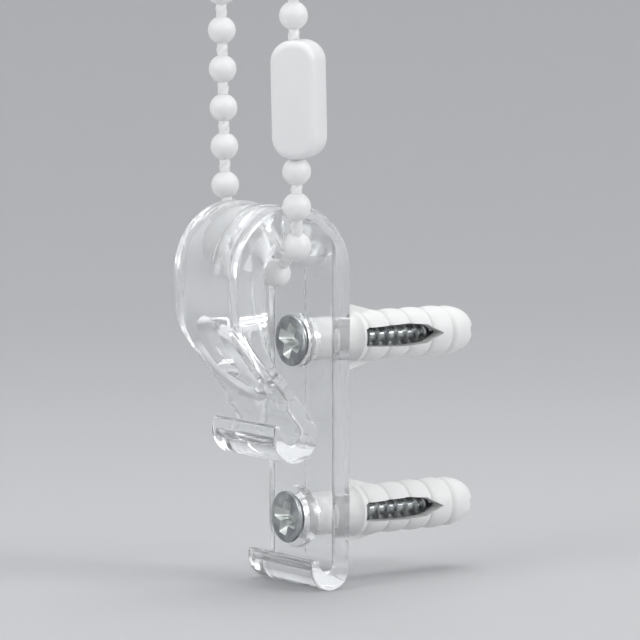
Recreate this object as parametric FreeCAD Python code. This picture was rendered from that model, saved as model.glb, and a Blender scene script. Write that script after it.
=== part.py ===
import FreeCAD, Part
import math
import os

from FreeCAD import Rotation, Vector

# Frame: the origin is on the back face of the wall plate, midway between its two screw holes.
# X runs across the clip, Y runs into the wall and Z runs up. All sizes are in millimetres.
# Each piece is drawn with its heights counted from the foot of the clip, and moved to the frame last.

# Clip body
clip_width = 17.9
plate_thickness = 3.35
arch_radius = 10.5
arch_height = 49.45

# Saddle inside the arch, which the chain bends round
saddle_below_crown = 7.65
saddle_front = 12.0
saddle_round = 9.6
saddle_lean = 0.1
saddle_corner_round = 3.3
saddle_overlap = 0.25
saddle_sections = 9
saddle_side_overrun = 0.18
saddle_corner_spread = 4.0

# Front leg, which slants back towards the plate
leg_angle = 38.7
leg_thickness = 2.7
leg_bend_round = 10.0
bend_share = 0.83
relief_width = 2.8
relief_depth = 0.8
relief_foot = 28.5

# Hook at the end of the leg
hook_gap = 2.7
hook_bottom = 20.3
hook_round = 4.05
hook_bowl_round = 1.7
hook_bowl_rise = 1.1
hook_lip_top = 26.3
lip_round = 0.55

# Small hook at the foot of the plate
foot_lip_reach = 3.95
foot_lip_thickness = 1.6
foot_lip_top = 4.9

# Hole through the leg for the screwdriver
access_height = 9.7
access_width = 6.2
access_centre = 38.1

# Screws: head, shank and where they go through the plate
screw_lower_height = 10.7
screw_upper_height = 38.3
head_diameter = 8.1
head_rim = 0.5
head_proud = 1.35
shank_diameter = 3.9
screw_reach = 23.4
screw_point = 4.2
screw_clearance = 0.1
screw_tip_diameter = 0.6
recess_span = 4.6
recess_floor_span = 1.5
recess_width = 1.0
recess_depth = 1.9
recess_turn_upper = 20.0
recess_turn_lower = 16.0

# Collars round the screw holes
collar_lower_diameter = 9.8
collar_lower_height = 1.5
collar_upper_diameter = 8.4
collar_upper_height = 0.7

# Wall plugs
plug_length = 28.6
plug_diameter = 8.0
plug_neck_diameter = 6.7
plug_neck_length = 5.4
plug_bore_clearance = 0.1
plug_seat_depth = 0.4
plug_seat_clearance = 0.1
plug_shoulder = 2.14
plug_rib_depth = 0.55
plug_rib_count = 4
plug_rib_slope = 0.3
plug_last_rib = 0.2
plug_nose = 0.2
plug_nose_bend = 0.65
plug_tip_diameter = 3.4
plug_sides = 20
plug_fin_span = 10.6
plug_fin_thickness = 1.2
plug_fin_start = 4.6
plug_fin_length = 6.4
plug_slot_start = 9.6
plug_slot_length = 13.9
plug_slot_height = 3.7
plug_end_slot = 1.2
plug_end_slot_depth = 1.0

# Bead chain
bead_diameter = 4.35
bead_pitch = 6.05
slack_pitch = 5.1
chain_cord_diameter = 1.8
bead_sides = 12
bead_bands = 6
chain_seat_gap = 0.27
chain_lean = 0.024
chain_y_seats = [-9.3, -9.2, -9.0, -9.0, -11.0, -10.3, -12.2]
lowest_bead = -0.9
wrap_beads = 3
far_beads = 5
slack_beads = 2
upper_beads = 2

# Chain connector
connector_length = 17.9
connector_width = 7.2
connector_depth = 6.7
connector_end_round = 3.0
connector_front_bevel = 1.0
connector_back_bevel = 0.4
connector_turn = 40.0
connector_hold = 11.6
connector_offset = 0.5
connector_bead_clearance = 0.12
connector_end_wall = 0.8
cover_length = 8.8
cover_width = 5.2
cover_thickness = 0.9
cover_proud = 0.3
cover_clearance = 0.08
cover_latch_height = 1.6
cover_latch_proud = 0.35
cover_ledge = 0.5

# Sizes that follow from those above
edge_tolerance = 0.01
half_width = clip_width / 2
plate_front = -plate_thickness
saddle_top = arch_height + arch_radius - saddle_below_crown
lean_angle = math.radians(leg_angle)
leg_normal = Vector(0, math.cos(lean_angle), math.sin(lean_angle))
leg_upward = Vector(0, -math.sin(lean_angle), math.cos(lean_angle))
hook_centre = Vector(0, plate_front - hook_gap - hook_round, hook_bottom + hook_round)
bowl_centre = (
    hook_centre
    + leg_normal * (hook_round - leg_thickness - hook_bowl_round)
    + leg_upward * hook_bowl_rise
)
leg_join = hook_centre + leg_normal * hook_round + leg_upward * hook_bowl_rise
plug_ribbed_length = plug_length - plug_neck_length - plug_shoulder
plug_rib_pitch = plug_ribbed_length / (plug_rib_count + 1 + plug_last_rib)


def at(x, point):
    return Vector(x, point.y, point.z)


def line(start, end):
    return Part.LineSegment(start, end).toShape()


def flat_face(points):
    return Part.Face(Part.makePolygon(points + points[:1]))


def ring(centre, direction, radius, sides):
    """A regular ring of points across a direction."""
    turn = Rotation(Vector(0, 0, 1), direction)
    angles = [2 * math.pi * i / sides for i in range(sides)]
    return [centre + turn.multVec(Vector(radius * math.cos(a), radius * math.sin(a), 0)) for a in angles]


def faceted_solid(rings):
    """A solid of flat faces through a row of rings that have the same number of points."""
    faces = [flat_face(rings[0]), flat_face(rings[-1])]
    sides = len(rings[0])
    for below, above in zip(rings, rings[1:]):
        for i in range(sides):
            following = (i + 1) % sides
            faces.append(flat_face([below[i], below[following], above[following], above[i]]))
    return Part.makeSolid(Part.makeShell(faces))


def arc(start, middle, end):
    return Part.Arc(start, middle, end).toShape()


def on_circle(centre, radius, degrees):
    """A point of a circle in a plane across X; 0 degrees points to the wall and 90 points up."""
    angle = math.radians(degrees)
    return centre + Vector(0, radius * math.cos(angle), radius * math.sin(angle))


def leg_face_y(height, depth):
    """Y of a face of the leg at a height; depth is how far it lies in front of the rear face."""
    foot = hook_centre + leg_normal * (hook_round - depth)
    return foot.y - (height - foot.z) * math.tan(lean_angle)


def leg_face_z(y, depth):
    foot = hook_centre + leg_normal * (hook_round - depth)
    return foot.z - (y - foot.y) / math.tan(lean_angle)


def bend(corner, back, ahead, radius):
    """The rounded corner between two straight runs: its first, middle and last point."""
    turn = math.acos(max(-1.0, min(1.0, back.dot(ahead))))
    reach = radius / math.tan(turn / 2)
    bisector = (back + ahead).normalize()
    centre = corner + bisector * (radius / math.sin(turn / 2))
    return corner + back * reach, centre - bisector * radius, corner + ahead * reach


def largest_bend(back, ahead, run):
    """The largest radius of a rounded corner that leaves some of a straight run beside it."""
    return run * math.tan(math.acos(back.dot(ahead)) / 2) * bend_share


def side_outline(relief):
    """The outline of the clip seen from the side, with the bowl still filled in."""
    depth = leg_thickness - relief
    front = -2 * arch_radius
    crown = Vector(0, -arch_radius, arch_height)
    corner = Vector(0, front, leg_face_z(front, depth))
    up = Vector(0, 0, 1)
    down_leg = leg_upward * -1
    bend_round = min(leg_bend_round, largest_bend(up, down_leg, arch_height - corner.z))
    bend_top, bend_middle, bend_foot = bend(corner, up, down_leg, bend_round)
    bowl_rear = bowl_centre + leg_normal * hook_bowl_round
    bowl_front = bowl_centre + Vector(0, -hook_bowl_round, 0)
    lip_rear_top = Vector(0, bowl_front.y, hook_lip_top)
    lip_front_top = Vector(0, hook_centre.y - hook_round, hook_lip_top)
    hook_front = Vector(0, lip_front_top.y, hook_centre.z)
    hook_under = on_circle(hook_centre, hook_round, -90)
    hook_rear = hook_centre + leg_normal * hook_round
    tip_rear = bend(lip_rear_top, Vector(0, 0, -1), Vector(0, -1, 0), lip_round)
    tip_front = bend(lip_front_top, Vector(0, 1, 0), Vector(0, 0, -1), lip_round)

    foot_front = plate_front - foot_lip_reach
    foot_round = -foot_front / 2
    foot_centre = Vector(0, -foot_round, foot_round)
    groove_round = (foot_lip_reach - foot_lip_thickness) / 2
    groove_centre = Vector(0, plate_front - groove_round, foot_lip_top - groove_round / 2)
    foot_rear_top = Vector(0, foot_front + foot_lip_thickness, foot_lip_top)
    foot_front_top = Vector(0, foot_front, foot_lip_top)
    foot_tip_rear = bend(foot_rear_top, Vector(0, 0, -1), Vector(0, -1, 0), lip_round)
    foot_tip_front = bend(foot_front_top, Vector(0, 1, 0), Vector(0, 0, -1), lip_round)

    edges = [
        arc(Vector(0, 0, arch_height), crown + Vector(0, 0, arch_radius), Vector(0, front, arch_height)),
        line(Vector(0, front, arch_height), bend_top),
        arc(bend_top, bend_middle, bend_foot),
    ]
    if relief > 0:
        step_y = leg_face_y(relief_foot, leg_thickness)
        step_top = Vector(0, step_y, leg_face_z(step_y, depth))
        step_foot = Vector(0, step_y, relief_foot)
        edges += [line(bend_foot, step_top), line(step_top, step_foot), line(step_foot, bowl_rear)]
    else:
        edges += [line(bend_foot, bowl_rear)]
    edges += [
        arc(bowl_rear, on_circle(bowl_centre, hook_bowl_round, -90), bowl_front),
        line(bowl_front, tip_rear[0]),
        arc(*tip_rear),
        line(tip_rear[2], tip_front[0]),
        arc(*tip_front),
        line(tip_front[2], hook_front),
        arc(hook_front, on_circle(hook_centre, hook_round, -135), hook_under),
        arc(hook_under, on_circle(hook_centre, hook_round, -20), hook_rear),
        line(hook_rear, leg_join),
        line(leg_join, Vector(0, plate_front, leg_join.z)),
        line(Vector(0, plate_front, leg_join.z), Vector(0, plate_front, groove_centre.z)),
        arc(
            Vector(0, plate_front, groove_centre.z),
            on_circle(groove_centre, groove_round, -90),
            Vector(0, foot_rear_top.y, groove_centre.z),
        ),
        line(Vector(0, foot_rear_top.y, groove_centre.z), foot_tip_rear[0]),
        arc(*foot_tip_rear),
        line(foot_tip_rear[2], foot_tip_front[0]),
        arc(*foot_tip_front),
        line(foot_tip_front[2], Vector(0, foot_front, foot_round)),
        arc(
            Vector(0, foot_front, foot_round),
            on_circle(foot_centre, foot_round, -90),
            Vector(0, 0, foot_round),
        ),
        line(Vector(0, 0, foot_round), Vector(0, 0, arch_height)),
    ]
    return Part.Wire(edges)


def slab(outline, start, end):
    face = Part.Face(outline)
    face.translate(Vector(start, 0, 0))
    return face.extrude(Vector(end - start, 0, 0))


def rise_of_saddle(x):
    """How far the saddle falls away from its crest at a distance from the middle of the clip."""
    return saddle_round - math.sqrt(saddle_round**2 - x**2)


def bowl_arc(x):
    """Centre and radius of the rounded top of the bowl, cut across at x."""
    right = plate_front + saddle_overlap
    left = -saddle_front - rise_of_saddle(x)
    radius = (right - left) / 2
    return Vector(x, left + radius, saddle_top + rise_of_saddle(x) - radius), radius


def bowl_section(x):
    """The open space between leg and plate, cut across at x; it is smallest in the middle."""
    centre, radius = bowl_arc(x)
    left = centre.y - radius
    right = centre.y + radius
    foot = at(x, leg_join)
    ahead = leg_upward * -1
    back = Vector(0, -saddle_lean, 1).normalize()
    slope = math.tan(lean_angle)
    corner_z = (foot.y + slope * foot.z - left - saddle_lean * centre.z) / (slope - saddle_lean)
    corner = Vector(x, left + saddle_lean * (centre.z - corner_z), corner_z)
    room = min((corner - foot).Length, centre.z - corner_z)
    wanted = saddle_corner_round * (1 + saddle_corner_spread * (x / half_width) ** 2)
    radius_here = min(wanted, largest_bend(back, ahead, room))
    bend_top, bend_middle, bend_foot = bend(corner, back, ahead, radius_here)
    low_right = Vector(x, right, foot.z - (right - foot.y) / 3)
    return Part.Wire(
        [
            line(low_right, Vector(x, right, centre.z)),
            arc(Vector(x, right, centre.z), centre + Vector(0, 0, radius), Vector(x, left, centre.z)),
            line(Vector(x, left, centre.z), bend_top),
            arc(bend_top, bend_middle, bend_foot),
            line(bend_foot, foot),
            line(foot, low_right),
        ]
    )


def bowl():
    """The whole space of the bowl, up to the front face of the plate."""
    steps = [2 * i / (saddle_sections - 1) - 1 for i in range(saddle_sections)]
    reach = half_width + saddle_side_overrun
    space = Part.makeLoft([bowl_section(reach * s) for s in steps], True, True)
    length = 4 * arch_radius
    keep = Part.makeBox(2 * clip_width, length, 2 * arch_height)
    keep.translate(Vector(-clip_width, plate_front - length, 0))
    return space.common(keep)


def rod(diameter, start_y, end_y, height):
    return Part.makeCylinder(diameter / 2, end_y - start_y, Vector(0, start_y, height), Vector(0, 1, 0))


def turned(points, height):
    """A turned solid about a line along Y; its points are (y, radius) along the outline."""
    outline = [Vector(0, points[0][0], 0)]
    outline += [Vector(0, y, radius) for y, radius in points]
    outline += [Vector(0, points[-1][0], 0), Vector(0, points[0][0], 0)]
    solid = Part.Face(Part.makePolygon(outline)).revolve(Vector(0, 0, 0), Vector(0, 1, 0), 360)
    solid.translate(Vector(0, 0, height))
    return solid


def head_front(collar_height):
    return plate_front - collar_height - head_proud


def screw_outline(collar_height, grow):
    """The head and shank of a screw as (y, radius); grow widens it, for the hole that takes it."""
    front = head_front(collar_height)
    head = head_diameter / 2 + grow
    shank = shank_diameter / 2 + grow
    cone_start = front + head_rim
    return [(front, head), (cone_start, head), (cone_start + head - shank, shank)]


def access_hole():
    straight = (access_height - access_width) / 2
    length = 2 * arch_radius
    start = plate_front - hook_gap / 2 - length
    hole = Part.makeBox(access_width, length, 2 * straight)
    hole.translate(Vector(-access_width / 2, start, access_centre - straight))
    for end in (-straight, straight):
        hole = hole.fuse(rod(access_width, start, start + length, access_centre + end))
    return hole.removeSplitter()


def clip_body():
    """The clear moulding: plate, arch, saddle, leg and both hooks."""
    inner_edge = half_width - relief_width
    body = slab(side_outline(0), -inner_edge, inner_edge)
    for start, end in ((-half_width, -inner_edge), (inner_edge, half_width)):
        body = body.fuse(slab(side_outline(relief_depth), start, end))
    body = body.removeSplitter()
    body = body.cut(bowl())
    body = body.cut(access_hole())
    collars = (
        (screw_lower_height, collar_lower_diameter, collar_lower_height),
        (screw_upper_height, collar_upper_diameter, collar_upper_height),
    )
    for height, diameter, proud in collars:
        body = body.fuse(rod(diameter, plate_front - proud, plate_front + proud, height))
    for height, diameter, proud in collars:
        outline = screw_outline(proud, screw_clearance)
        through = outline + [(plate_thickness, shank_diameter / 2 + screw_clearance)]
        body = body.cut(turned(through, height))
        seat_diameter = plug_neck_diameter + 2 * plug_seat_clearance
        body = body.cut(rod(seat_diameter, -plug_seat_depth, plate_thickness, height))
    return body.removeSplitter()


def cross_recess(collar_height, height, turn):
    """Two crossing slots in the screw's head, narrower towards their floor."""
    front = head_front(collar_height)
    half = recess_span / 2
    floor_half = recess_floor_span / 2
    start = front - head_proud
    outline = [
        Vector(0, start, half),
        Vector(0, front, half),
        Vector(0, front + recess_depth, floor_half),
        Vector(0, front + recess_depth, -floor_half),
        Vector(0, front, -half),
        Vector(0, start, -half),
    ]
    face = flat_face(outline)
    face.translate(Vector(-recess_width / 2, 0, 0))
    slot = face.extrude(Vector(recess_width, 0, 0))
    crossed = slot.copy()
    crossed.rotate(Vector(0, 0, 0), Vector(0, 1, 0), 90)
    cutter = slot.fuse(crossed)
    cutter.rotate(Vector(0, 0, 0), Vector(0, 1, 0), turn)
    cutter.translate(Vector(0, 0, height))
    return cutter


def screw(height, collar_height, turn):
    """A countersunk wood screw, with its thread left as a plain shank."""
    outline = screw_outline(collar_height, 0)
    outline += [(screw_reach - screw_point, shank_diameter / 2), (screw_reach, screw_tip_diameter / 2)]
    return turned(outline, height).cut(cross_recess(collar_height, height, turn))


def plug_outline():
    """The ribbed outside of a wall plug as (y, radius) from its mouth to its tip."""
    neck = plug_neck_diameter / 2
    outer = plug_diameter / 2
    inner = outer - plug_rib_depth
    points = [(-plug_seat_depth, neck), (plug_neck_length, neck)]
    first = plug_length - plug_ribbed_length
    points.append((first - plug_rib_pitch * plug_rib_slope, outer))
    points.append((first, inner))
    for i in range(plug_rib_count):
        start = first + i * plug_rib_pitch
        points.append((start + plug_rib_pitch * plug_rib_slope, outer))
        points.append((start + plug_rib_pitch * (1 - plug_rib_slope), outer))
        points.append((start + plug_rib_pitch, inner))
    nose = points[-1][0]
    left = plug_length - nose
    tip = plug_tip_diameter / 2
    points.append((nose + left * plug_nose, outer - plug_rib_depth / 4))
    points.append((nose + left * plug_nose_bend, (outer + tip) / 2))
    points.append((plug_length, tip))
    return points


def plug_slot():
    """The boat-shaped slot through both sides of a plug, pointed at both ends."""
    end = plug_slot_start + plug_slot_length
    half = plug_slot_height / 2
    shoulder = plug_slot_length / 4
    outline = [
        Vector(-plug_diameter, plug_slot_start, 0),
        Vector(-plug_diameter, plug_slot_start + shoulder, half),
        Vector(-plug_diameter, end - shoulder, half),
        Vector(-plug_diameter, end, 0),
        Vector(-plug_diameter, end - shoulder, -half),
        Vector(-plug_diameter, plug_slot_start + shoulder, -half),
    ]
    return flat_face(outline).extrude(Vector(2 * plug_diameter, 0, 0))


def wall_plug(height):
    """A nylon wall plug with ribs, a fin above and below, and a slot that shows the screw."""
    along = Vector(0, 1, 0)
    body = faceted_solid([ring(along * y, along, radius, plug_sides) for y, radius in plug_outline()])
    fin_end = plug_fin_start + plug_fin_length
    half = plug_fin_span / 2
    fin = [
        Vector(0, plug_fin_start, half),
        Vector(0, fin_end, plug_diameter / 2 - plug_rib_depth / 2),
        Vector(0, fin_end, -plug_diameter / 2 + plug_rib_depth / 2),
        Vector(0, plug_fin_start, -half),
    ]
    fin_face = flat_face(fin)
    fin_face.translate(Vector(-plug_fin_thickness / 2, 0, 0))
    body = body.fuse(fin_face.extrude(Vector(plug_fin_thickness, 0, 0)))
    bore = shank_diameter / 2 + plug_bore_clearance
    bore_tip = screw_tip_diameter / 2 + plug_bore_clearance
    bore_end = screw_reach + 2 * plug_bore_clearance
    bore_start = -plate_thickness
    body = body.cut(turned([(bore_start, bore), (bore_end - screw_point, bore), (bore_end, bore_tip)], 0))
    body = body.cut(plug_slot())
    notch = Part.makeBox(2 * plug_diameter, 2 * plug_end_slot_depth, plug_end_slot)
    notch.translate(Vector(-plug_diameter, plug_length - plug_end_slot_depth, -plug_end_slot / 2))
    body = body.cut(notch)
    body.translate(Vector(0, 0, height))
    return body


# Route of the chain: down beside the clip, round under the saddle and up on the other side
wrap_radius = saddle_round + bead_diameter / 2 + chain_seat_gap
wrap_centre_z = saddle_top + saddle_round
wrap_length = math.pi * wrap_radius


def chain_y(distance):
    """Y of the chain at a length along it, from the seats of the beads that go round the bend."""
    last = len(chain_y_seats) - 1
    place = min(max((distance - lowest_bead) / bead_pitch + wrap_beads, 0), last)
    before = min(int(place), last - 1)
    share = place - before
    return chain_y_seats[before] * (1 - share) + chain_y_seats[before + 1] * share


def saddle_drop(x, y):
    """How much lower the chain hangs at y than under the crest of the saddle's rounded section."""
    across = min(abs(x), half_width)
    centre, radius = bowl_arc(across)
    room = radius - bead_diameter / 2 - chain_seat_gap
    aside = min(abs(y - centre.y), room)
    return room - math.sqrt(room**2 - aside**2)


def chain_point(distance):
    """A point of the chain by its length from the lowest point, counted towards the near side."""
    y = chain_y(distance)
    if abs(distance) <= wrap_length / 2:
        angle = distance / wrap_radius
        x = wrap_radius * math.sin(angle)
        return Vector(x, y, wrap_centre_z - wrap_radius * math.cos(angle) - saddle_drop(x, y))
    side = 1 if distance > 0 else -1
    rise = abs(distance) - wrap_length / 2
    return Vector(side * wrap_radius, y - chain_lean * rise, wrap_centre_z + rise)


def bead(centre, direction):
    """One bead as a faceted ball, with a flat round each hole."""
    radius = bead_diameter / 2
    cap = math.asin(chain_cord_diameter / bead_diameter)
    rings = []
    for i in range(bead_bands + 1):
        angle = cap + (math.pi - 2 * cap) * i / bead_bands
        place = centre - direction * (radius * math.cos(angle))
        rings.append(ring(place, direction, radius * math.sin(angle), bead_sides))
    return faceted_solid(rings)


def link(first, second):
    """The cord between two beads."""
    direction = (second - first).normalize()
    return flat_face(ring(first, direction, chain_cord_diameter / 2, bead_sides)).extrude(second - first)


def strand(distances):
    """A run of beads joined by their cord."""
    centres = [chain_point(d) for d in distances]
    parts = []
    for i, centre in enumerate(centres):
        before = centres[max(i - 1, 0)]
        after = centres[min(i + 1, len(centres) - 1)]
        parts.append(bead(centre, (after - before).normalize()))
    for first, second in zip(centres, centres[1:]):
        parts.append(link(first, second))
    return parts[0].multiFuse(parts[1:])


# Where the beads sit along the chain, counted from its lowest point towards the near side
seated_beads = [lowest_bead + n * bead_pitch for n in range(-wrap_beads - far_beads, wrap_beads + 1)]
slack_run = [seated_beads[-1] + (n + 1) * slack_pitch for n in range(slack_beads)]
lower_held_bead = slack_run[-1]
upper_held_bead = lower_held_bead + connector_hold
upper_run = [upper_held_bead + n * bead_pitch for n in range(upper_beads + 1)]


def bead_chain():
    """The length of chain that runs through the clip; its near end is held in the connector."""
    return strand(seated_beads + slack_run)


def bead_chain_upper():
    """The other end of the chain, which leaves the connector at its top."""
    return strand(upper_run)


def place_connector(shape):
    """Turn a piece of the connector to where it hangs on the chain."""
    middle = chain_point((lower_held_bead + upper_held_bead) / 2)
    shape.rotate(Vector(0, 0, 0), Vector(0, 0, 1), connector_turn)
    shape.rotate(Vector(0, 0, 0), Vector(1, 0, 0), math.degrees(math.atan(chain_lean)))
    shape.translate(middle)
    return shape


def centred_box(width, depth, height):
    box = Part.makeBox(width, depth, height)
    box.translate(Vector(-width / 2, -depth / 2, -height / 2))
    return box


def connector_shell():
    """The outside of the connector: a block with round corners and bevelled edges."""
    block = centred_box(connector_width, connector_depth, connector_length)
    corners = [e for e in block.Edges if abs(e.BoundBox.YLength - connector_depth) < edge_tolerance]
    block = block.makeFillet(connector_end_round, corners)
    front = [e for e in block.Edges if e.BoundBox.YMax < edge_tolerance - connector_depth / 2]
    block = block.makeChamfer(connector_front_bevel, front)
    back = [e for e in block.Edges if e.BoundBox.YMin > connector_depth / 2 - edge_tolerance]
    block = block.makeChamfer(connector_back_bevel, back)
    block.translate(Vector(connector_offset, 0, 0))
    return block


def connector_body():
    """The moulded capsule that takes the last bead of each chain end."""
    tunnel_round = bead_diameter / 2 + connector_bead_clearance
    cord_round = chain_cord_diameter / 2 + connector_bead_clearance
    tunnel_length = connector_length - 2 * connector_end_wall
    tunnel = Part.makeCylinder(tunnel_round, tunnel_length, Vector(0, 0, -tunnel_length / 2))
    way = Part.makeCylinder(cord_round, 2 * connector_length, Vector(0, 0, -connector_length))
    seat = centred_box(cover_width + 2 * cover_clearance, connector_depth, cover_length + 2 * cover_clearance)
    seat.translate(Vector(connector_offset, connector_depth - (cover_thickness - cover_proud), 0))
    window = centred_box(cover_width - 2 * cover_ledge, connector_depth, cover_length - 2 * cover_ledge)
    window.translate(Vector(connector_offset, connector_depth / 2, 0))
    return place_connector(connector_shell().cut(tunnel.multiFuse([way, seat, window])))


def connector_cover():
    """The thin lid on the back, with a raised latch at its top."""
    back = connector_depth / 2 + cover_proud
    lid = Part.makeBox(cover_width, cover_thickness, cover_length)
    start = connector_offset - cover_width / 2
    lid.translate(Vector(start, back - cover_thickness, -cover_length / 2))
    latch = Part.makeBox(cover_width, cover_latch_proud, cover_latch_height)
    latch.translate(Vector(start, back, cover_length / 2 - cover_latch_height))
    return place_connector(lid.fuse(latch).removeSplitter())


os.makedirs("parts", exist_ok=True)
pieces = {
    "clip_body": clip_body(),
    "screw_upper": screw(screw_upper_height, collar_upper_height, recess_turn_upper),
    "screw_lower": screw(screw_lower_height, collar_lower_height, recess_turn_lower),
    "wall_plug_upper": wall_plug(screw_upper_height),
    "wall_plug_lower": wall_plug(screw_lower_height),
    "bead_chain": bead_chain(),
    "bead_chain_upper": bead_chain_upper(),
    "connector_body": connector_body(),
    "connector_cover": connector_cover(),
}
screw_spacing_middle = (screw_lower_height + screw_upper_height) / 2
for name, shape in pieces.items():
    shape.translate(Vector(0, 0, -screw_spacing_middle))
    shape.exportStep(f"parts/{name}.step")
    print(name, shape.isValid(), len(shape.Solids), round(shape.Volume, 2))
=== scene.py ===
import bmesh
import bpy
import numpy as np
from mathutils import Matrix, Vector


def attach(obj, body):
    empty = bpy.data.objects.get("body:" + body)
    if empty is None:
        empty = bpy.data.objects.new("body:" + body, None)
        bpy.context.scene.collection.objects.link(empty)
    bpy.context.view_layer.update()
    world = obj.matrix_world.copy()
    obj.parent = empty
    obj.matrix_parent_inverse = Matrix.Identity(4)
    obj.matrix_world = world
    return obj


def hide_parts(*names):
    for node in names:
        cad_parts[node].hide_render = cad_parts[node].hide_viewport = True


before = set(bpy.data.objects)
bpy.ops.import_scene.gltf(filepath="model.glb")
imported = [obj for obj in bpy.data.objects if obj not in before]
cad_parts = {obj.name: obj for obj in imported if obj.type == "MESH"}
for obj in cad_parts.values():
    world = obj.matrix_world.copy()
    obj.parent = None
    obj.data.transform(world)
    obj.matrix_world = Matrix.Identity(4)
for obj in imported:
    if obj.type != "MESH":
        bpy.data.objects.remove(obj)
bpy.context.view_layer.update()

# The clip body: one clear injection moulding in the shape of a P. It stands with its plate
# against the wall and is held there by two screws. All sizes are in millimetres, with heights
# counted from the foot of the clip, which lies below the origin, midway between the screw holes.
mm = 0.001
foot_below_origin = 24.5
half_width = 8.95
plate_front = -3.35
arch_radius = 10.5
arch_height = 49.45
lean = np.radians(38.7)
leg_normal = np.array([np.cos(lean), np.sin(lean)])
leg_upward = np.array([-np.sin(lean), np.cos(lean)])
leg_thickness = 2.7
leg_bend_round = 10.0
relief_depth = 0.85
relief_foot = 28.5
relief_edge = (6.05, 6.25)
band_depth = 0.35
band_edge = (5.9, 6.2)
band_start = (0.5, 0.9)
land_height = 0.12
land_edge = (1.4, 1.6)
hook_gap = 2.7
hook_bottom = 20.3
hook_round = 4.05
hook_middle = np.array([plate_front - hook_gap - hook_round, hook_bottom + hook_round])
hook_inside_round = 1.7
hook_mouth_rise = 1.1
hook_inside = hook_middle + leg_normal * (hook_round - leg_thickness - hook_inside_round)
hook_inside = hook_inside + leg_upward * hook_mouth_rise
hook_lip_top = 26.3
leg_foot = hook_middle + leg_normal * hook_round + leg_upward * hook_mouth_rise
tip_round = 0.55
saddle_crest = 52.3
saddle_round = 9.6
saddle_front = 12.0
saddle_lean = 0.1
bowl_into_plate = 0.25
bowl_corner_round = 3.3
bowl_corner_growth = 4
foot_front = -7.3
foot_lip_thickness = 1.6
foot_lip_top = 4.9
groove_height = foot_lip_top - 0.6
leg_top_points = 8
arch_points = 64
plate_points = 70


def straight_run(start, end, count):
    """Points from start to end, without the end point."""
    share = np.linspace(0, 1, count, endpoint=False)[:, None]
    return np.asarray(start) * (1 - share) + np.asarray(end) * share


def round_run(middle, radius, first_degrees, last_degrees, count):
    """Points of a circle, y = middle + radius cos a and z = middle + radius sin a, without the last."""
    angle = np.radians(np.linspace(first_degrees, last_degrees, count, endpoint=False))
    return np.column_stack([middle[0] + radius * np.cos(angle), middle[1] + radius * np.sin(angle)])


def rounded_corner(corner, back, ahead, radius):
    """First point, middle of the circle and last point of a corner between two straight runs."""
    turn = np.arccos(np.clip(np.dot(back, ahead), -1, 1))
    bisector = (back + ahead) / np.linalg.norm(back + ahead)
    reach = radius / np.tan(turn / 2)
    return corner + back * reach, corner + bisector * radius / np.sin(turn / 2), corner + ahead * reach


def corner_run(corner, back, ahead, radius, count):
    """Points round such a corner, turning evenly from its first point to its last."""
    first, middle, last = rounded_corner(corner, back, ahead, radius)
    start = np.arctan2(*(first - middle)[::-1])
    end = np.arctan2(*(last - middle)[::-1])
    end = start + (end - start + np.pi) % (2 * np.pi) - np.pi
    return first, last, round_run(middle, radius, np.degrees(start), np.degrees(end), count)


def leg_face_height(y, depth):
    """Height of a face of the leg at y; depth is how far it lies in front of the rear face."""
    foot = hook_middle + leg_normal * (hook_round - depth)
    return foot[1] - (y - foot[0]) / np.tan(lean)


def leg_front_run(depth):
    """Front of the leg: down from the arch, round the bend and along the slant to the hook.

    Where the front is sunk, an upright step down to relief_foot brings it back to the leg's full
    thickness.
    """
    front = -2 * arch_radius
    corner = np.array([front, leg_face_height(front, depth)])
    first, last, bend = corner_run(corner, np.array([0.0, 1.0]), -leg_upward, leg_bend_round, 14)
    inside = hook_inside + leg_normal * hook_inside_round
    from_middle = hook_round - leg_thickness
    step_y = hook_middle[0] + leg_normal[0] * from_middle
    step_y -= (relief_foot - hook_middle[1] - leg_normal[1] * from_middle) * np.tan(lean)
    step_top = np.array([step_y, leg_face_height(step_y, depth)])
    step_foot = np.array([step_y, relief_foot])
    runs = [
        straight_run([front, arch_height], first, leg_top_points),
        bend,
        straight_run(last, step_top, 30),
        straight_run(step_top, step_foot, 6),
        straight_run(step_foot, inside, 8),
    ]
    return np.concatenate(runs)


def bowl_run(x):
    """Inside of the bowl at x: leg, saddle corner, saddle front and rounded top, up to the plate.

    The saddle falls away from its crest by R - sqrt(R^2 - x^2), and the bowl grows by as much.
    """
    fall = saddle_round - np.sqrt(saddle_round**2 - x**2)
    right = plate_front + bowl_into_plate
    left = -saddle_front - fall
    radius = (right - left) / 2
    middle = np.array([left + radius, saddle_crest + fall - radius])
    slope = np.tan(lean)
    corner_height = leg_foot[0] + slope * leg_foot[1] - left - saddle_lean * middle[1]
    corner_height /= slope - saddle_lean
    corner = np.array([left + saddle_lean * (middle[1] - corner_height), corner_height])
    up = np.array([-saddle_lean, 1.0]) / np.hypot(saddle_lean, 1.0)
    corner_round = bowl_corner_round * (1 + bowl_corner_growth * (x / half_width) ** 2)
    first, last, bend = corner_run(corner, -leg_upward, up, corner_round, 16)
    end = np.degrees(np.arccos((plate_front - middle[0]) / radius))
    plate_top = [plate_front, middle[1] + radius * np.sin(np.radians(end))]
    runs = [
        straight_run(leg_foot, first, 30),
        bend,
        straight_run(last, [left, middle[1]], 10),
        round_run(middle, radius, 180, end, 44),
        straight_run(plate_top, [plate_front, groove_height], plate_points),
    ]
    return np.concatenate(runs)


def soft_step(value, start, end):
    """From 0 at start to 1 at end along s^2 (3 - 2 s)."""
    share = np.clip((value - start) / (end - start), 0, 1)
    return share * share * (3 - 2 * share)


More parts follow.
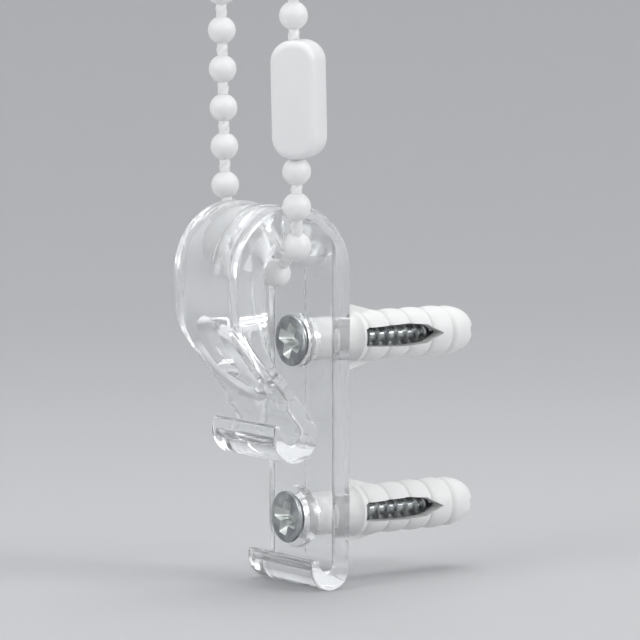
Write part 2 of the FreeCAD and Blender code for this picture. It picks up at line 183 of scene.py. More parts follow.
def lip_run(rear, front, top, rear_foot, front_foot):
    """Up the rear of a lip, round its tip and down its front."""
    shoulder = top - tip_round
    runs = [
        straight_run([rear, rear_foot], [rear, shoulder], 8),
        round_run([rear - tip_round, shoulder], tip_round, 0, 90, 6),
        round_run([front + tip_round, shoulder], tip_round, 90, 180, 6),
        straight_run([front, shoulder], [front, front_foot], 8),
    ]
    return np.concatenate(runs)


def clip_section(x):
    """The closed outline of the clip in y and height, cut across at x.

    The leg's front is sunk along both sides. A shallow band lies round the arch, and a low land
    runs along the middle of the arch and the plate; both end in a soft step at their sides.
    """
    relief = soft_step(abs(x), *relief_edge)
    leg = leg_front_run(leg_thickness) * (1 - relief)
    leg = leg + leg_front_run(leg_thickness - relief_depth) * relief
    arch = round_run([-arch_radius, arch_height], arch_radius, 0, 180, arch_points)
    angle = np.linspace(0, np.pi, arch_points, endpoint=False)
    across = 1 - soft_step(abs(x), *band_edge)
    band = across * soft_step(angle, *band_start)
    land = land_height * (1 - soft_step(abs(x), *land_edge))
    sunk = band_depth * band - land * (band > 0)
    arch -= np.column_stack([np.cos(angle), np.sin(angle)]) * sunk[:, None]
    leg[:leg_top_points, 0] += (band_depth - land) * (np.linspace(1, 0, leg_top_points) * across)
    groove_round = (plate_front - foot_front - foot_lip_thickness) / 2
    foot_round = -foot_front / 2
    bowl = bowl_run(x)
    bowl[-plate_points:-1, 0] -= land
    hook_lip = (hook_inside[0] - hook_inside_round, hook_middle[0] - hook_round, hook_lip_top)
    foot_lip = (foot_front + foot_lip_thickness, foot_front, foot_lip_top)
    runs = [
        straight_run([0, foot_round], [0, arch_height], 30),
        arch,
        leg,
        round_run(hook_inside, hook_inside_round, np.degrees(lean), -180, 30),
        lip_run(*hook_lip, hook_inside[1], hook_middle[1]),
        round_run(hook_middle, hook_round, 180, 360 + np.degrees(lean), 44),
        straight_run(hook_middle + leg_normal * hook_round, leg_foot, 2),
        bowl,
        round_run([plate_front - groove_round, groove_height], groove_round, 0, -180, 18),
        lip_run(*foot_lip, groove_height, foot_round),
        round_run([-foot_round, foot_round], foot_round, 180, 360, 40),
    ]
    return np.concatenate(runs)


def inset(outline, distance):
    """The outline moved inwards along its own normals, each the mean of the two edges at a point.

    Where the outline stays at one point, its edges have no length and the point doesn't move.
    """
    edges = np.roll(outline, -1, axis=0) - outline
    edges /= np.maximum(np.linalg.norm(edges, axis=1), 1e-9)[:, None]
    along = edges + np.roll(edges, 1, axis=0)
    along /= np.maximum(np.linalg.norm(along, axis=1), 1e-9)[:, None]
    return outline - np.column_stack([along[:, 1], -along[:, 0]]) * distance


def closed_mesh(name, rows):
    """A closed mesh from rows of points that each go once round; the end rows become flat faces."""
    count, around = rows.shape[:2]
    index = np.arange(count * around).reshape(count, around)
    following = np.roll(index, -1, axis=1)
    quads = np.stack([index[:-1], following[:-1], following[1:], index[1:]], axis=-1).reshape(-1, 4)
    faces = quads.tolist() + [index[0][::-1].tolist(), index[-1].tolist()]
    mesh = bpy.data.meshes.new(name)
    mesh.from_pydata((rows.reshape(-1, 3) * mm).tolist(), [], faces)
    work = bmesh.new()
    work.from_mesh(mesh)
    bmesh.ops.remove_doubles(work, verts=work.verts, dist=1e-7)
    bmesh.ops.recalc_face_normals(work, faces=work.faces)
    work.to_mesh(mesh)
    work.free()
    made = bpy.data.objects.new(name, mesh)
    bpy.context.scene.collection.objects.link(made)
    return made


def combine(target, other, operation):
    """Cut other out of target, or join it on, and drop it."""
    change = target.modifiers.new("change", "BOOLEAN")
    change.operation = operation
    change.solver = "EXACT"
    change.object = other
    evaluated = target.evaluated_get(bpy.context.evaluated_depsgraph_get())
    mesh = bpy.data.meshes.new_from_object(evaluated)
    target.modifiers.clear()
    target.data = mesh
    bpy.data.objects.remove(other)


def smooth(target, degrees):
    """Smooth shading with edges kept sharp where the faces turn by more than this."""
    mesh = target.data
    mesh.polygons.foreach_set("use_smooth", np.ones(len(mesh.polygons), bool))
    mesh.set_sharp_from_angle(angle=np.radians(degrees))


def turned(name, points, height, around=64, first=0.0):
    """A turned solid on a line along y at x 0; points are (y, radius), with radius 0 at both ends.

    Its sides start at the angle first, so that two solids that meet needn't share their edges.
    """
    angle = np.linspace(0, 2 * np.pi, around, endpoint=False) + first
    points = np.asarray(points, float)
    radius = np.maximum(points[:, 1], 1e-3)[:, None]
    rows = np.empty((len(points), around, 3))
    rows[..., 0] = radius * np.sin(angle)
    rows[..., 1] = points[:, :1]
    rows[..., 2] = radius * np.cos(angle) + height - foot_below_origin
    return closed_mesh(name, rows)


# The sections are closest where the land, the band and the relief end, and round the side edges,
# where the outline is drawn in by R - R sin a at R cos a outwards.
edge_round = 0.45
near_land_edge = [1.35, 1.4, 1.45, 1.5, 1.55, 1.6, 1.65]
inner = np.concatenate([np.linspace(0, 5.7, 15), np.linspace(5.85, 6.3, 10), np.linspace(6.5, 8.3, 9)])
inner = np.unique(np.concatenate([inner, near_land_edge]))
turn = np.radians(np.linspace(90, 0, 7))
edge = half_width - edge_round + edge_round * np.cos(turn)
stations = [(x, 0.0) for x in inner] + list(zip(edge, edge_round - edge_round * np.sin(turn)))
stations = [(-x, d) for x, d in stations[:0:-1]] + stations
rows = []
for x, distance in stations:
    outline = inset(clip_section(x), distance)
    z = outline[:, 1] - foot_below_origin
    rows.append(np.column_stack([np.full(len(outline), x), outline[:, 0], z]))
clip = closed_mesh("clip_body_visual", np.array(rows))

# Each screw has a collar in front of the plate. The radius and the height of the two differ. Their
# sides are turned a little, so that no edge falls on an edge of the plate or of the screw hole.
screw_heights = {"lower": 10.7, "upper": 38.3}
collars = {"lower": (4.9, 1.5), "upper": (4.2, 0.7)}
collar_edge = 0.3
collar_root = -2
collar_sides = 61
collar_first_side = 0.02
for place, height in screw_heights.items():
    radius, proud = collars[place]
    front = plate_front - proud
    collar_points = [
        (front, 0),
        (front, radius - collar_edge),
        (front + 0.09, radius - 0.09),
        (front + collar_edge, radius),
        (collar_root, radius),
        (collar_root, 0),
    ]
    collar = turned("collar", collar_points, height, collar_sides, collar_first_side)
    combine(clip, collar, "UNION")

# A long hole through the leg and the saddle lets a screwdriver reach the upper screw.
driver_radius = 3.1
driver_half_straight = 1.75
driver_height = 38.1
driver_reach = (-25.0, -4.9)
driver_sides = 96
angle = np.linspace(0, 2 * np.pi, driver_sides, endpoint=False)
outline = driver_radius * np.column_stack([np.cos(angle), np.sin(angle)])
straight = np.where(outline[:, 1] >= 0, driver_half_straight, -driver_half_straight)
outline[:, 1] += straight + driver_height - foot_below_origin
rows = [np.column_stack([outline[:, 0], np.full(driver_sides, y), outline[:, 1]]) for y in driver_reach]
combine(clip, closed_mesh("driver_hole", np.array(rows)), "DIFFERENCE")

# The screw holes: a seat for the head, a cone, and a bore that takes the neck of the plug.
head_radius = 4.05
head_rim = 0.5
head_proud = 1.35
plug_neck = 3.35
hole_play = 0.1
past_the_plate = 1


def head_front(place):
    """Where the face of the screw's head lies, in front of its collar."""
    return plate_front - collars[place][1] - head_proud


for place, height in screw_heights.items():
    front = head_front(place)
    hole = [
        (front, 0),
        (front, head_radius + hole_play),
        (front + head_rim, head_radius + hole_play),
        (front + head_rim + head_radius - plug_neck, plug_neck + hole_play),
        (past_the_plate, plug_neck + hole_play),
        (past_the_plate, 0),
    ]
    combine(clip, turned("screw_hole", hole, height), "DIFFERENCE")
smooth(clip, degrees=32)


def material(name):
    """A new material; its shader and the tree it stands in."""
    made = bpy.data.materials.new(name)
    made.use_nodes = True
    return made, made.node_tree, made.node_tree.nodes["Principled BSDF"]


def bumps(tree, shader, scale, strength, distance, detail=2.0):
    """Fine unevenness from noise on Object coordinates; gives back the noise."""
    place = tree.nodes.new("ShaderNodeTexCoord")
    noise = tree.nodes.new("ShaderNodeTexNoise")
    noise.inputs["Scale"].default_value = scale
    noise.inputs["Detail"].default_value = detail
    bump = tree.nodes.new("ShaderNodeBump")
    bump.inputs["Strength"].default_value = strength
    bump.inputs["Distance"].default_value = distance
    tree.links.new(place.outputs["Object"], noise.inputs["Vector"])
    tree.links.new(noise.outputs["Fac"], bump.inputs["Height"])
    tree.links.new(bump.outputs["Normal"], shader.inputs["Normal"])
    return noise


# The plastic is clear, with a slight haze.
clear, tree, shader = material("clear_moulded_plastic")
shader.inputs["Base Color"].default_value = (0.985, 0.99, 0.995, 1)
shader.inputs["Roughness"].default_value = 0.05
shader.inputs["IOR"].default_value = 1.55
shader.inputs["Transmission Weight"].default_value = 0.93
bumps(tree, shader, scale=160.0, strength=0.12, distance=0.0004)
clip.data.materials.clear()
clip.data.materials.append(clear)
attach(clip, "root")
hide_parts("clip_body")

# The two wall plugs: white nylon mouldings behind the plate. Each is a ribbed barrel with a thin
# fin above and below and a boat-shaped slot through both flanks, in which the screw can be seen.
plug_length = 28.6
plug_outer = 4.0
plug_groove = 0.55
rib_pitch = 4.05
first_rib = plug_length - 5.2 * rib_pitch
nose_start = first_rib + 4 * rib_pitch
nose_tip = 1.6
neck_end = 5.2
bore_radius = 2.05
fin_half_thickness = 0.6
slot_start = 6.7
slot_length = 14.9
past_both_sides = 6
nylon, tree, shader = material("white_nylon")
shader.inputs["Base Color"].default_value = (0.83, 0.83, 0.82, 1)
shader.inputs["Roughness"].default_value = 0.42
shader.inputs["Subsurface Weight"].default_value = 0.25
shader.inputs["Subsurface Radius"].default_value = (1.0, 1.0, 0.95)
shader.inputs["Subsurface Scale"].default_value = 0.0015
bumps(tree, shader, scale=900.0, strength=0.15, distance=0.0001)


def rib_radius(y):
    """Radius of the ribbed barrel: outer radius - groove * (1 - (1 - |2 s - 1|^2.2)^(1/2)).

    Here s runs from 0 to 1 along each rib, so each is an arch with a narrow groove before the next.
    """
    share = ((y - first_rib) / rib_pitch) % 1
    arch = np.sqrt(np.clip(1 - np.abs(2 * share - 1) ** 2.2, 0, 1))
    return plug_outer - plug_groove * (1 - arch)


def plug_profile(mouth):
    """(y, radius) of the plug from its mouth, behind the screw's head, to its tip.

    The nose is tip + (outer - tip) (1 - 0.98 s^2)^(1/2) along s from 0 to 1, with a last groove
    where it starts.
    """
    neck = [(mouth, 0), (mouth, plug_neck - 0.05), (mouth + 0.05, plug_neck), (0, plug_neck)]
    shoulder = [(neck_end, plug_neck), (5.9, 3.72), (6.3, plug_outer), (7.1, plug_outer - 0.08)]
    barrel = np.linspace(first_rib, nose_start, 97)
    nose = np.linspace(0, 1, 15)[1:]
    nose_radius = (plug_outer - 0.1 - nose_tip) * np.sqrt(1 - 0.98 * nose**2)
    nose_radius = nose_tip + nose_radius * np.clip(nose * 9, 0.93, 1)
    return (
        neck
        + shoulder
        + list(zip(barrel, rib_radius(barrel)))
        + list(zip(nose_start + nose * (plug_length - nose_start), nose_radius))
        + [(plug_length, 1.5), (plug_length, 0)]
    )


def plate_of_points(name, outline, low, high):
    """A flat plate: an outline of (y, height) pushed from low to high along x."""
    rows = []
    for x in (low, high):
        rows.append(np.column_stack([np.full(len(outline), x), outline[:, 0], outline[:, 1]]))
    return closed_mesh(name, np.array(rows))


# The outlines, in y and height from the plug's middle line: the two fins as one plate, the slot
# that narrows to a point at both ends like a boat, and the notch that splits the tip.
fin_half = [(4.7, 5.3), (5.4, 5.25), (11.0, 3.72)]
fin_outline = np.array(fin_half + [(y, -rise) for y, rise in fin_half[::-1]] + [(4.7, 0)])
along = np.linspace(0, 1, 41)
boat_rise = np.interp(along, [0, 0.04, 0.55, 0.8, 0.9, 1], [1.3, 1.5, 1.8, 1.5, 0.75, 0.05])
boat_y = slot_start + slot_length * along
notch_outline = np.array([(27.6, -0.6), (30, -0.6), (30, 0.6), (27.6, 0.6)])
for place, height in screw_heights.items():
    middle = height - foot_below_origin
    mouth = head_front(place) + head_rim + head_radius - plug_neck + 0.05
    plug = turned(f"wall_plug_{place}_visual", plug_profile(mouth), height, around=72)
    fin = fin_outline + [0, middle]
    combine(plug, plate_of_points("fin", fin, -fin_half_thickness, fin_half_thickness), "UNION")
    bore = [
        (mouth - 1, 0),
        (mouth - 1, plug_neck + 1),
        (mouth + plug_neck - bore_radius, bore_radius),
        (19.4, bore_radius),
        (23.6, 0.4),
        (24, 0.01),
    ]
    combine(plug, turned("bore", bore, height, around=48), "DIFFERENCE")
    upper_edge = np.column_stack([boat_y, middle + boat_rise])
    lower_edge = np.column_stack([boat_y, middle - boat_rise])[::-1]
    boat = np.concatenate([upper_edge, lower_edge])
    combine(plug, plate_of_points("boat_slot", boat, -past_both_sides, past_both_sides), "DIFFERENCE")
    notch = notch_outline + [0, middle]
    combine(plug, plate_of_points("end_slot", notch, -past_both_sides, past_both_sides), "DIFFERENCE")
    smooth(plug, degrees=35)
    plug.data.materials.clear()
    plug.data.materials.append(nylon)
    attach(plug, "root")
    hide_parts(f"wall_plug_{place}")

# The two screws: zinc-plated countersunk wood screws, rolled thread, cross recess in the head.
# They go through the collars of the plate into the plugs. The zinc is cloudy, with lighter and
# darker patches; inside the recess it is painted lighter, as a painted highlight.
zinc, tree, shader = material("zinc_plated_steel")
shader.inputs["Metallic"].default_value = 1.0
noise = bumps(tree, shader, scale=1400.0, strength=0.25, distance=0.00005, detail=4.0)
wear = tree.nodes.new("ShaderNodeMapRange")
wear.inputs["To Min"].default_value = 0.14
wear.inputs["To Max"].default_value = 0.34
tree.links.new(noise.outputs["Fac"], wear.inputs["Value"])
tree.links.new(wear.outputs["Result"], shader.inputs["Roughness"])
place = tree.nodes.new("ShaderNodeTexCoord")
cloud = tree.nodes.new("ShaderNodeTexNoise")
cloud.inputs["Scale"].default_value = 330.0
cloud.inputs["Detail"].default_value = 3.0
tree.links.new(place.outputs["Object"], cloud.inputs["Vector"])
zinc_tones = tree.nodes.new("ShaderNodeValToRGB")
zinc_tones.color_ramp.elements[0].position = 0.38
zinc_tones.color_ramp.elements[0].color = (0.27, 0.28, 0.3, 1)
zinc_tones.color_ramp.elements[1].position = 0.62
zinc_tones.color_ramp.elements[1].color = (0.52, 0.545, 0.54, 1)
tree.links.new(cloud.outputs["Fac"], zinc_tones.inputs["Fac"])
tree.links.new(zinc_tones.outputs["Color"], shader.inputs["Base Color"])
# A lighter copy of the zinc for the recess: a painted highlight, not a different metal.
recess_zinc_painted_highlight, tree, shader = material("zinc_painted_highlight_in_the_recess")
shader.inputs["Base Color"].default_value = (0.62, 0.645, 0.63, 1)
shader.inputs["Metallic"].default_value = 1.0
shader.inputs["Roughness"].default_value = 0.3
bumps(tree, shader, scale=1400.0, strength=0.2, distance=0.00005, detail=4.0)
shank_radius = 1.95
thread_pitch = 1.84
thread_root = 1.2
thread_run_in = 1.2
rows_per_turn = 22
ridge_half_width = 0.22
point_length = 4.6
ridge_run_out = 4.2
screw_reach = 23.4
screw_sides = 48
recess_sides = 128
recess_depth = 1.8
recess_wall = 0.6
recess_turn = {"upper": -20, "lower": -16}


def threaded_screw(name, front, height):
    """Head, cone and threaded shank of a screw in one closed surface from the head to the point.

    The thread is r(a, y) = core + ridge where y / pitch - a / 2 pi is near a half. The core and the
    ridge both grow with a power of the length that is left, so the screw ends in a point.
    """
    angle = np.linspace(0, 2 * np.pi, screw_sides, endpoint=False)
    cone_foot = front + head_rim + head_radius - shank_radius
    head = np.array(
        [
            (front, 1e-3),
            (front, 1.2),
            (front, 2.6),
            (front, 3.72),
            (front + 0.03, 3.88),
            (front + 0.12, 4.01),
            (front + 0.25, head_radius),
            (front + head_rim, head_radius),
            (front + 0.56, head_radius - 0.07),
            (cone_foot, shank_radius),
        ]
    )
    along = np.arange(cone_foot + 0.05, screw_reach, thread_pitch / rows_per_turn)
    left = screw_reach - along
    core = thread_root * np.clip(left / point_length, 0.03, 1) ** 0.85
    core += (shank_radius - thread_root) * (1 - soft_step(along, cone_foot, cone_foot + thread_run_in))
    ridge = (shank_radius - thread_root) * np.clip(left / ridge_run_out, 0, 1) ** 0.7
    phase = (along[:, None] / thread_pitch - angle[None, :] / (2 * np.pi)) % 1
    crest = np.clip(1 - np.abs(phase - 0.5) / ridge_half_width, 0, 1) ** 0.7
    radius = np.minimum(core[:, None] + ridge[:, None] * crest, shank_radius)
    radius = np.concatenate([np.repeat(head[:, 1:], screw_sides, axis=1), radius])
    depth = np.concatenate([head[:, 0], along])
    rows = np.empty((len(depth), screw_sides, 3))
    rows[..., 0] = radius * np.sin(angle)
    rows[..., 1] = depth[:, None]
    rows[..., 2] = radius * np.cos(angle) + height - foot_below_origin
    return closed_mesh(name, rows)


def recess_cutter(front, height, degrees):
    """The cross recess: a cross with soft corners that narrows towards its floor.

    The outline is r(a) = ((cos a / L)^7 + (sin a / w)^7)^(-1/7), folded four ways.
    """
    angle = np.linspace(0, 2 * np.pi, recess_sides, endpoint=False)
    folded = np.abs((angle + np.pi / 4) % (np.pi / 2) - np.pi / 4)
    depth_length_width = [
        (-0.6, 2.9, 1.06),
        (0, 2.85, 1.02),
        (0.15, 2.7, 0.88),
        (1.2, 1.9, 0.66),
        (1.6, 1.3, 0.6),
        (1.7, 0.1, 0.1),
    ]
    rows = []
    for depth, length, width in depth_length_width:
        radius = ((np.cos(folded) / length) ** 7 + (np.sin(folded) / width) ** 7) ** (-1 / 7)
        a = angle + np.radians(degrees)
        x = radius * np.cos(a)
        z = radius * np.sin(a) + height - foot_below_origin
        rows.append(np.column_stack([x, np.full(recess_sides, front + depth), z]))
    return closed_mesh("recess", np.array(rows))


for place, height in screw_heights.items():
    front = head_front(place)
    screw = threaded_screw(f"screw_{place}_visual", front, height)
    combine(screw, recess_cutter(front, height, recess_turn[place]), "DIFFERENCE")
    smooth(screw, degrees=38)
    screw.data.materials.clear()
    screw.data.materials.append(zinc)
    screw.data.materials.append(recess_zinc_painted_highlight)
    # Faces inside the recess take the lighter zinc, the painted highlight.
    centres = np.empty(3 * len(screw.data.polygons))
    screw.data.polygons.foreach_get("center", centres)
    across, depth, up = (centres.reshape(-1, 3) / mm).T
    depth = depth - front
    from_axis = np.hypot(across, up - height + foot_below_origin)
    in_recess = (depth > 0.01) & (depth < recess_depth)
    in_recess &= from_axis < head_radius - recess_wall - depth
    screw.data.polygons.foreach_set("material_index", in_recess.astype(np.int32))
    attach(screw, "root")
    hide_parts(f"screw_{place}")

# The bead chain: white plastic balls moulded on a twisted cord. One run hangs down beside the
# clip, goes round under the saddle and comes up through the bowl; its end is held in the connector,
# and the other end of the same chain leaves the connector at its top.
bead_radius = 2.175
bead_pitch = 6.05
slack_pitch = 5.1
cord_radius = 0.9
strand_depth = 0.16
twist_length = 4.2
twist_shift = 1.3
saddle_gap = 0.27
wrap_radius = saddle_round + bead_radius + saddle_gap
wrap_middle = saddle_crest + saddle_round
wrap_length = np.pi * wrap_radius
chain_lean = 0.024
lowest_bead = -0.9

# How far out each of the seven lowest beads sits, in y, from the outer run to the inner one, and
# where the two hang that are slack. The slack ones are found by their length along the chain.
seats = np.array([-9.3, -9.2, -9.0, -9.0, -11.0, -10.3, -12.2])
slack_beads = {5.15: (5.2, -11.3, 24.9), 11.2: (9.9, -10.75, 29.3)}


def chain_point(distance):
    """A point of the chain by its length from its lowest point.

    Round the saddle it runs on an arc, lower by R - sqrt(R^2 - y^2) where it sits aside in the
    round bowl. Beyond the arc both runs go straight up with a slight lean.
    """
    y = np.interp((distance - lowest_bead) / bead_pitch + 3, np.arange(7), seats)
    if abs(distance) > wrap_length / 2:
        side = np.sign(distance)
        rise = abs(distance) - wrap_length / 2
        z = wrap_middle + rise - foot_below_origin
        return np.array([side * wrap_radius, y - chain_lean * rise, z])
    angle = distance / wrap_radius
    x = wrap_radius * np.sin(angle)
    across = min(abs(x), half_width)
    fall = saddle_round - np.sqrt(saddle_round**2 - across**2)
    right = plate_front + bowl_into_plate
    left = -saddle_front - fall
    room = (right - left) / 2 - bead_radius - saddle_gap
    aside = min(abs(y - (left + right) / 2), room)
    drop = room - np.sqrt(room**2 - aside**2)
    return np.array([x, y, wrap_middle - wrap_radius * np.cos(angle) - drop - foot_below_origin])


def frame_along(direction):
    """The direction of a line, made one long, and two directions across it to place rings round it."""
    direction = direction / np.linalg.norm(direction)
    side = np.cross(direction, [0.3, 1.0, 0.2])
    side /= np.linalg.norm(side)
    return direction, side, np.cross(direction, side)


def bead_rows(middle, direction):
    """A ball with a small flat round each hole: rings of radius R sin b at -R cos b along the cord."""
    along, side, other = frame_along(direction)
    angle = np.linspace(0, 2 * np.pi, 40, endpoint=False)
    cap = np.arcsin(cord_radius / bead_radius) * 0.98
    rows = []
    for b in np.linspace(cap, np.pi - cap, 25):
        ring = np.cos(angle)[:, None] * side + np.sin(angle)[:, None] * other
        rows.append(middle - along * bead_radius * np.cos(b) + ring * bead_radius * np.sin(b))
    return np.array(rows)


def cord_rows(first, second, phase):
    """A three-strand cord between two beads, a little fuller in the middle.

    Its radius is R (1 - c (1 - |cos 1.5 (a - 2 pi s / T)|)) at an angle a and a length s, with c
    the depth between the strands and T the length of a twist.
    """
    along, side, other = frame_along(second - first)
    length = np.linalg.norm(second - first)
    angle = np.linspace(0, 2 * np.pi, 32, endpoint=False)
    rows = []
    start = bead_radius * 0.86
    for s in np.linspace(start, length - start, 21):
        share = (s - start) / (length - 2 * start)
        full = 0.9 + 0.1 * np.sin(np.pi * share)
        twist = 2 * np.pi * s / twist_length + phase
        radius = cord_radius * full * (1 - strand_depth * (1 - np.abs(np.cos(1.5 * (angle - twist)))))
        ring = np.cos(angle)[:, None] * side + np.sin(angle)[:, None] * other
        rows.append(first + along * s + ring * radius[:, None])
    return np.array(rows)


def strand(name, distances):
    """A run of beads and the cord between them, as one object."""
    middles = [np.array(slack_beads.get(round(d, 2), chain_point(d))) for d in distances]
    parts = []
    for i, middle in enumerate(middles):
        before = middles[max(i - 1, 0)]
        after = middles[min(i + 1, len(middles) - 1)]
        parts.append(closed_mesh("bead", bead_rows(middle, after - before)))
    for i, (first, second) in enumerate(zip(middles, middles[1:])):
        parts.append(closed_mesh("cord", cord_rows(first, second, i * twist_shift)))
    whole = bmesh.new()
    for part in parts:
        whole.from_mesh(part.data)
        bpy.data.objects.remove(part)
    mesh = bpy.data.meshes.new(name)
    whole.to_mesh(mesh)
    whole.free()
    made = bpy.data.objects.new(name, mesh)
    bpy.context.scene.collection.objects.link(made)
    smooth(made, degrees=50)
    return made


bead_white, tree, shader = material("white_bead_plastic")
shader.inputs["Base Color"].default_value = (0.86, 0.86, 0.855, 1)
shader.inputs["Roughness"].default_value = 0.38
shader.inputs["Subsurface Weight"].default_value = 0.15
shader.inputs["Subsurface Radius"].default_value = (1.0, 1.0, 0.97)
shader.inputs["Subsurface Scale"].default_value = 0.001
bumps(tree, shader, scale=500.0, strength=0.1, distance=0.0001)
held_apart = 11.6
upper_slack = 0.75
seated = [lowest_bead + n * bead_pitch for n in range(-8, 4)]
last_two = [seated[-1] + slack_pitch, seated[-1] + 2 * slack_pitch]
lower_held = last_two[-1]
upper_held = lower_held + held_apart
upper_free = upper_held + bead_pitch + upper_slack
runs = {
    "bead_chain": seated + last_two,
    "bead_chain_upper": [upper_held, upper_free, upper_free + bead_pitch],
}
for node, distances in runs.items():
    chain = strand(f"{node}_visual", distances)
    chain.data.materials.append(bead_white)
    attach(chain, "root")
    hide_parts(node)

# The chain connector: a white moulded capsule, made in one piece with a tunnel for the last bead
# of each chain end, and closed at its back by a thin snap-on lid with a raised latch.
capsule_middle = chain_point((lower_held + upper_held) / 2)
capsule_turn = np.radians(40.0)
capsule_tilt = np.arctan(chain_lean)
capsule_offset = 0.5
half_across = 3.6
half_up = 8.95
half_depth = 3.35
capsule_corner = 3.3
front_round = 1.2
back_round = 0.5
corner_points = 14


def hang(points):
    """Turn points of the connector about its length, tilt them with the chain and move them there."""
    x = points[..., 0] * np.cos(capsule_turn) - points[..., 1] * np.sin(capsule_turn)
    y = points[..., 0] * np.sin(capsule_turn) + points[..., 1] * np.cos(capsule_turn)
    z = points[..., 2]
    tilted_y = y * np.cos(capsule_tilt) - z * np.sin(capsule_tilt)
    tilted_z = y * np.sin(capsule_tilt) + z * np.cos(capsule_tilt)
    return np.stack([x, tilted_y, tilted_z], axis=-1) + capsule_middle


def soft_block(name, across, up, corner, levels, rise=0):
    """A block with soft edges, across and up its half sizes.

    At each level of y its outline, a rectangle with round corners, is drawn in by an inset.
    """
    rows = []
    for y, drawn_in in levels:
        radius = max(corner - drawn_in, 0.02)
        runs = []
        for i, (side_x, side_z) in enumerate(((1, 1), (-1, 1), (-1, -1), (1, -1))):
            angle = np.radians(np.linspace(90 * i, 90 * i + 90, corner_points))
            x = side_x * (across - drawn_in - radius) + radius * np.cos(angle)
            z = side_z * (up - drawn_in - radius) + radius * np.sin(angle)
            runs.append(np.column_stack([x + capsule_offset, np.full(corner_points, y), z + rise]))
        rows.append(np.concatenate(runs))
    return closed_mesh(name, hang(np.array(rows)))


def quarter(y, radius, inwards, count=8):
    """(y, inset) round the edge of a face at y: y + or - R (1 - sin a), and R (1 - cos a)."""
    angle = np.linspace(0, np.pi / 2, count)
    return [(y + inwards * radius * (1 - np.sin(a)), radius * (1 - np.cos(a))) for a in angle]


edges = quarter(-half_depth, front_round, 1)[::-1] + quarter(half_depth, back_round, -1)
capsule = soft_block("connector_body_visual", half_across, half_up, capsule_corner, edges)


def rod(name, radius, half_length, around=48):
    """A rod along the length of the connector."""
    angle = np.linspace(0, 2 * np.pi, around, endpoint=False)
    ring = radius * np.column_stack([np.cos(angle), np.sin(angle)])
    rows = [np.column_stack([ring, np.full(around, z)]) for z in (-half_length, half_length)]
    return closed_mesh(name, hang(np.array(rows)))


# A tunnel for the two held beads, a narrow way for the cord, a seat for the lid, and a window in it.
tunnel_radius = 2.295
tunnel_half_length = 8.15
way_radius = 1.02
way_half_length = 12
past_the_back = half_depth + 3
lid_foot = half_depth - 0.6
seat_half = (2.68, 4.48)
window_half = (2.1, 3.9)
combine(capsule, rod("tunnel", tunnel_radius, tunnel_half_length), "DIFFERENCE")
combine(capsule, rod("way", way_radius, way_half_length), "DIFFERENCE")
seat_levels = [(lid_foot, 0), (past_the_back, 0)]
combine(capsule, soft_block("lid_seat", *seat_half, 0.5, seat_levels), "DIFFERENCE")
window_levels = [(0.0, 0), (past_the_back, 0)]
combine(capsule, soft_block("window", *window_half, 0.4, window_levels), "DIFFERENCE")
smooth(capsule, degrees=40)

# The lid stands a little proud of the back, and the latch a little more.
lid_half = (2.6, 4.4)
lid_top = half_depth + 0.3
lid_edge = 0.15
latch_half = (2.6, 0.8)
latch_top = half_depth + 0.65
latch_edge = 0.25
latch_rise = 3.6
lid_levels = [(lid_foot, 0.0), (half_depth + 0.15, 0.0)] + quarter(lid_top, lid_edge, -1, 4)
lid = soft_block("connector_cover_visual", *lid_half, 0.45, lid_levels)
latch_levels = [(half_depth, 0.0), (half_depth + 0.4, 0.0)] + quarter(latch_top, latch_edge, -1, 5)
combine(lid, soft_block("latch", *latch_half, 0.4, latch_levels, latch_rise), "UNION")
smooth(lid, degrees=40)
cap_white, tree, shader = material("white_cap_plastic")
shader.inputs["Base Color"].default_value = (0.85, 0.845, 0.85, 1)
shader.inputs["Roughness"].default_value = 0.34
bumps(tree, shader, scale=300.0, strength=0.08, distance=0.0001)
for made, node in ((capsule, "connector_body"), (lid, "connector_cover")):
    made.data.materials.clear()
    made.data.materials.append(cap_white)
    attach(made, "root")
    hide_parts(node)

# The studio, in metres: a pale round paper floor that curves up slowly to a low rim all round, three
# soft lamps, and the camera of the photo. The floor is a turned surface, flat to a radius D and
# then rising by H ((r - D) / L)^3.
flat_radius = 0.25
rise_height = 0.2
rise_length = 0.5
floor_sides = 96
rim_radius = 0.78
floor_radius = np.linspace(0.001, rim_radius, 48)
floor_rise = rise_height * np.clip((floor_radius - flat_radius) / rise_length, 0, None) ** 3
round_angle = np.linspace(0, 2 * np.pi, floor_sides, endpoint=False)
floor_points = np.empty((len(floor_radius), floor_sides, 3))
floor_points[..., 0] = floor_radius[:, None] * np.cos(round_angle)
floor_points[..., 1] = floor_radius[:, None] * np.sin(round_angle)
floor_points[..., 2] = floor_rise[:, None] - foot_below_origin * mm
floor_index = np.arange(floor_points.size // 3).reshape(-1, floor_sides)
floor_next = np.roll(floor_index, -1, axis=1)
floor_faces = np.stack([floor_index[:-1], floor_index[1:], floor_next[1:], floor_next[:-1]], axis=-1)
floor_faces = floor_faces.reshape(-1, 4).tolist() + [floor_index[0].tolist()]
floor_mesh = bpy.data.meshes.new("studio_floor")
floor_mesh.from_pydata(floor_points.reshape(-1, 3).tolist(), [], floor_faces)
floor_mesh.polygons.foreach_set("use_smooth", np.ones(len(floor_faces), bool))
studio_floor = bpy.data.objects.new("studio_floor", floor_mesh)
bpy.context.scene.collection.objects.link(studio_floor)
paper, tree, shader = material("studio_paper")
shader.inputs["Base Color"].default_value = (0.5, 0.505, 0.515, 1)
shader.inputs["Roughness"].default_value = 0.7
bumps(tree, shader, scale=60.0, strength=0.05, distance=0.0005)
floor_mesh.materials.append(paper)


def lamp(name, place, size, power):
    """A soft rectangular lamp that faces the clip and isn't seen itself."""
    data = bpy.data.lights.new(name, "AREA")
    data.shape = "RECTANGLE"
    data.size, data.size_y = size
    data.energy = power
    made = bpy.data.objects.new(name, data)
    made.location = place
    made.visible_camera = False
    made.rotation_euler = (-Vector(place)).to_track_quat("-Z", "Y").to_euler()
    bpy.context.scene.collection.objects.link(made)
    return made


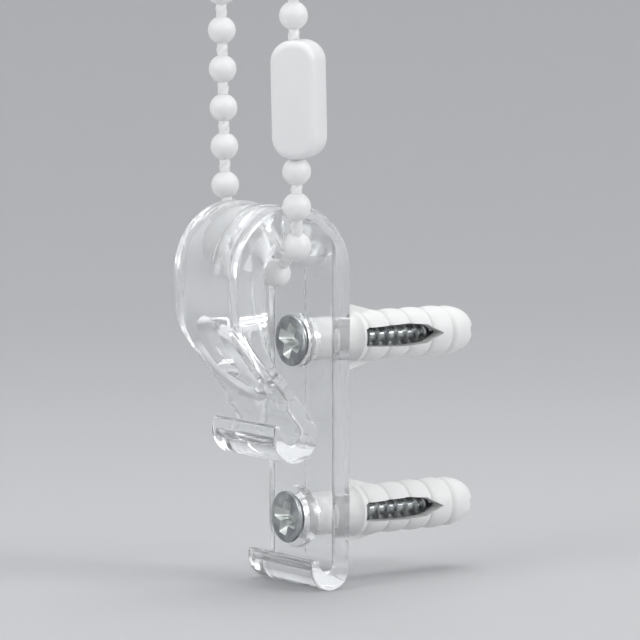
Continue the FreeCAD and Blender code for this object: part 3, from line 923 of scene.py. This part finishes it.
lamps = [
    lamp("soft_left", (0.05, -0.65, 0.32), (0.35, 0.5), 2.0),
    lamp("soft_right", (0.56, 0.34, 0.36), (0.2, 0.4), 2.0),
    lamp("soft_top", (-0.05, 0.05, 0.6), (0.5, 0.4), 1.7),
]

# The air lights the object evenly. Where the camera, a reflection or a ray through the plastic meets
# it, it is white overhead and falls off towards the horizon, as round a studio table.
world = bpy.data.worlds.new("studio_air")
bpy.context.scene.world = world
world.use_nodes = True
nodes = world.node_tree.nodes
links = world.node_tree.links
air = nodes["Background"]
air.inputs["Color"].default_value = (0.95, 0.97, 1.0, 1)
ray = nodes.new("ShaderNodeLightPath")
mirrored = nodes.new("ShaderNodeMath")
mirrored.operation = "MAXIMUM"
links.new(ray.outputs["Is Camera Ray"], mirrored.inputs[0])
links.new(ray.outputs["Is Glossy Ray"], mirrored.inputs[1])
seen_through = nodes.new("ShaderNodeMath")
seen_through.operation = "MAXIMUM"
links.new(mirrored.outputs["Value"], seen_through.inputs[0])
links.new(ray.outputs["Is Transmission Ray"], seen_through.inputs[1])
sky = nodes.new("ShaderNodeTexCoord")
split = nodes.new("ShaderNodeSeparateXYZ")
links.new(sky.outputs["Generated"], split.inputs["Vector"])
rise = nodes.new("ShaderNodeMapRange")
rise.interpolation_type = "SMOOTHSTEP"
rise.inputs["From Min"].default_value = 0.05
rise.inputs["From Max"].default_value = 0.6
rise.inputs["To Min"].default_value = 0.2
rise.inputs["To Max"].default_value = 1.0
links.new(split.outputs["Z"], rise.inputs["Value"])
level = nodes.new("ShaderNodeMapRange")
level.inputs["To Min"].default_value = 0.46
links.new(rise.outputs["Result"], level.inputs["To Max"])
links.new(seen_through.outputs["Value"], level.inputs["Value"])
links.new(level.outputs["Result"], air.inputs["Strength"])

camera_distance = 0.6
camera_data = bpy.data.cameras.new("camera")
camera_data.lens = 217.6
camera_data.sensor_width = 36.0
camera_data.clip_start = 0.01
camera = bpy.data.objects.new("camera", camera_data)
target = Vector((3.06, -1.72, 17.02)) * mm
direction = Vector((0.8169, -0.5690, 0.0943)).normalized()
camera.location = target + direction * camera_distance
camera.rotation_euler = (-direction).to_track_quat("-Z", "Y").to_euler()
bpy.context.scene.collection.objects.link(camera)
bpy.context.scene.camera = camera
bpy.context.scene.view_settings.view_transform = "Standard"
bpy.context.scene.cycles.max_bounces = 32
bpy.context.scene.cycles.glossy_bounces = 24
bpy.context.scene.cycles.transmission_bounces = 32
